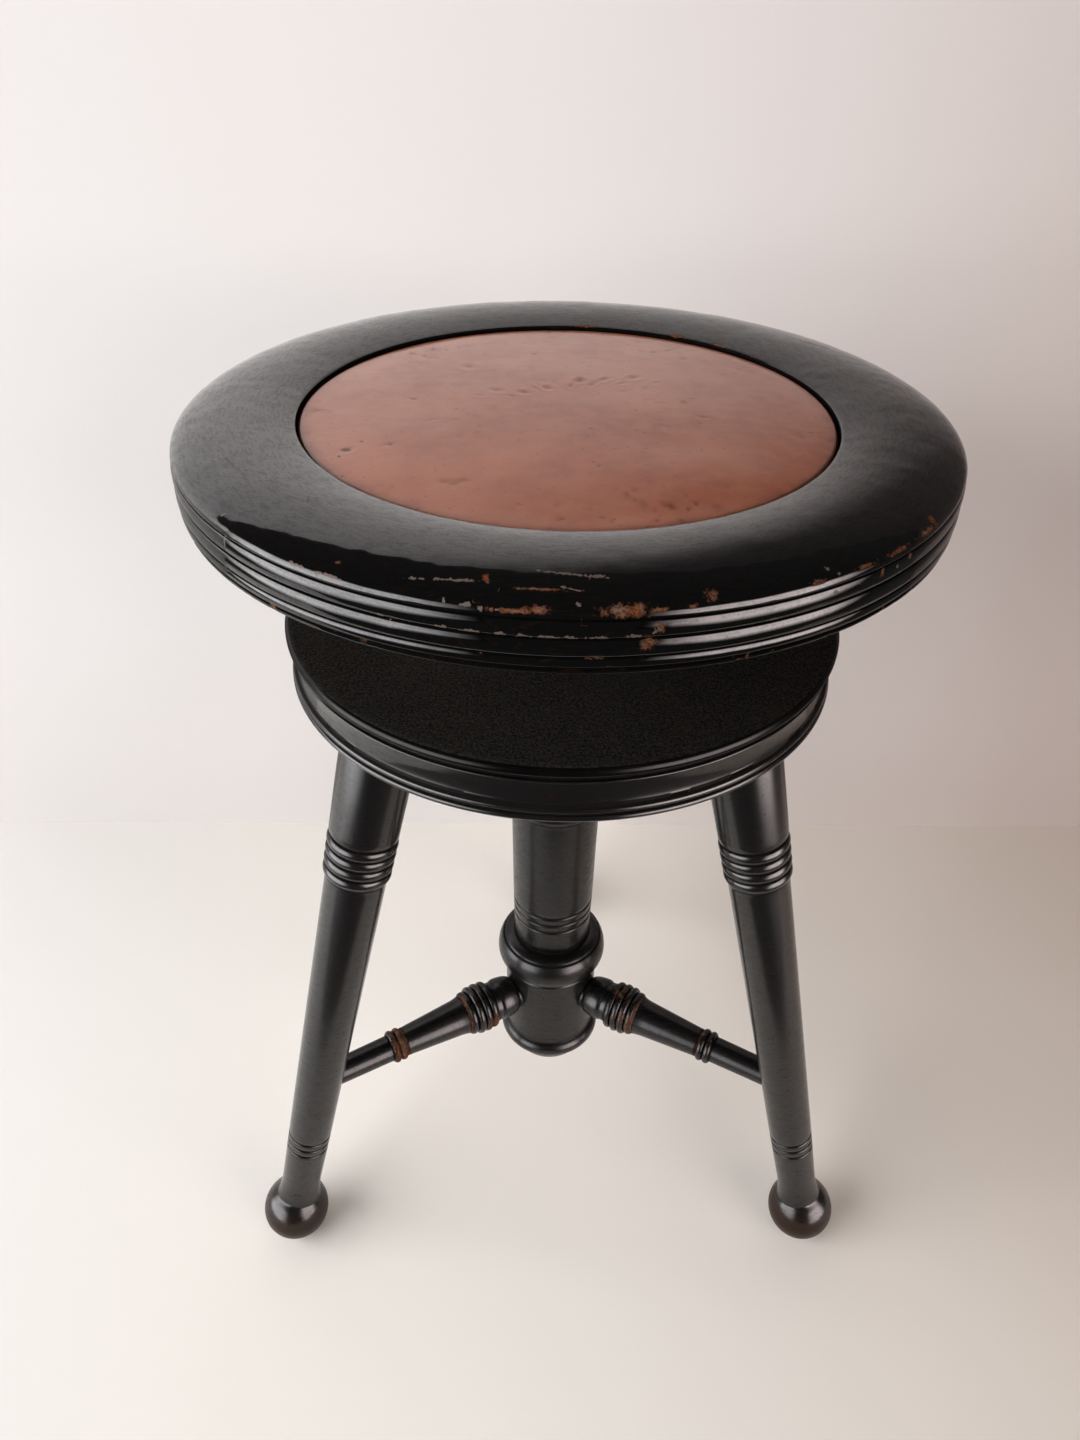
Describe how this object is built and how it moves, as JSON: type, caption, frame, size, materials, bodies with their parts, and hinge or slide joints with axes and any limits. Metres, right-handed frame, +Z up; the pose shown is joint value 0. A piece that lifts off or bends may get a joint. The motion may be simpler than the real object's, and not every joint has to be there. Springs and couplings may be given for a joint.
{
  "type": "revolving piano stool",
  "caption": "Round revolving piano stool: turned seat ring with a flush leather pad on a central screw, over a turned stand with splayed legs, a column and stretchers.",
  "frame": {"origin": "on the floor, under the middle of the box round the whole stool; the seat axis stands 19 mm in front of it", "axes": "+Z up along the seat screw, +Y towards the rear leg, +X to the right"},
  "size_m": [0.3794, 0.394, 0.5345],
  "materials": {
    "ebonised_wood": "black polish, worn to brown wood on sharp edges",
    "plain_wood": "bare, aged",
    "wadding": "loose wadding",
    "seat_leather": "polished red-brown, fine pits and creases",
    "steel": "dull, tarnished",
    "thread_steel": "oiled, dark in the roots",
    "iron": "dark japanned",
    "washer_leather": "rough, oil stained"
  },
  "bodies": {
    "stand": {"threaded_nut": "iron", "nut_screws": "steel", "platform_top": "ebonised_wood", "leg_block": "ebonised_wood", "block_screws": "steel", "leg_left": "ebonised_wood", "leg_right": "ebonised_wood", "leg_rear": "ebonised_wood", "leg_wedges": "plain_wood", "column": "ebonised_wood", "stretcher_boss": "ebonised_wood", "stretcher_left": "ebonised_wood", "stretcher_right": "ebonised_wood", "stretcher_rear": "ebonised_wood"},
    "lift": {"buffer_washer": "washer_leather"},
    "seat": {"seat_ring": "ebonised_wood", "seat_base": "plain_wood", "pad_board": "plain_wood", "pad_stuffing": "wadding", "leather_cover": "seat_leather", "ring_screws": "steel", "pad_screws": "steel", "screw_flange": "iron", "flange_screws": "steel", "seat_screw": "thread_steel", "hub_pin": "steel", "stop_collar": "iron", "stop_pin": "steel"}
  },
  "joints": [
    {"name": "seat_rise", "type": "slide", "parent": "stand", "child": "lift", "axis": [0, 0, 1], "range_m": [-0.048, 0.056]},
    {"name": "seat_turn", "type": "hinge", "parent": "lift", "child": "seat", "pos_m": [0, -0.019, 0.48], "axis": [0, 0, 1], "range_deg": [-2160, 2520]}
  ],
  "couplings": [
    {"joint": "seat_rise", "follows": "seat_turn", "m_per_rad": 0.0012732}
  ]
}
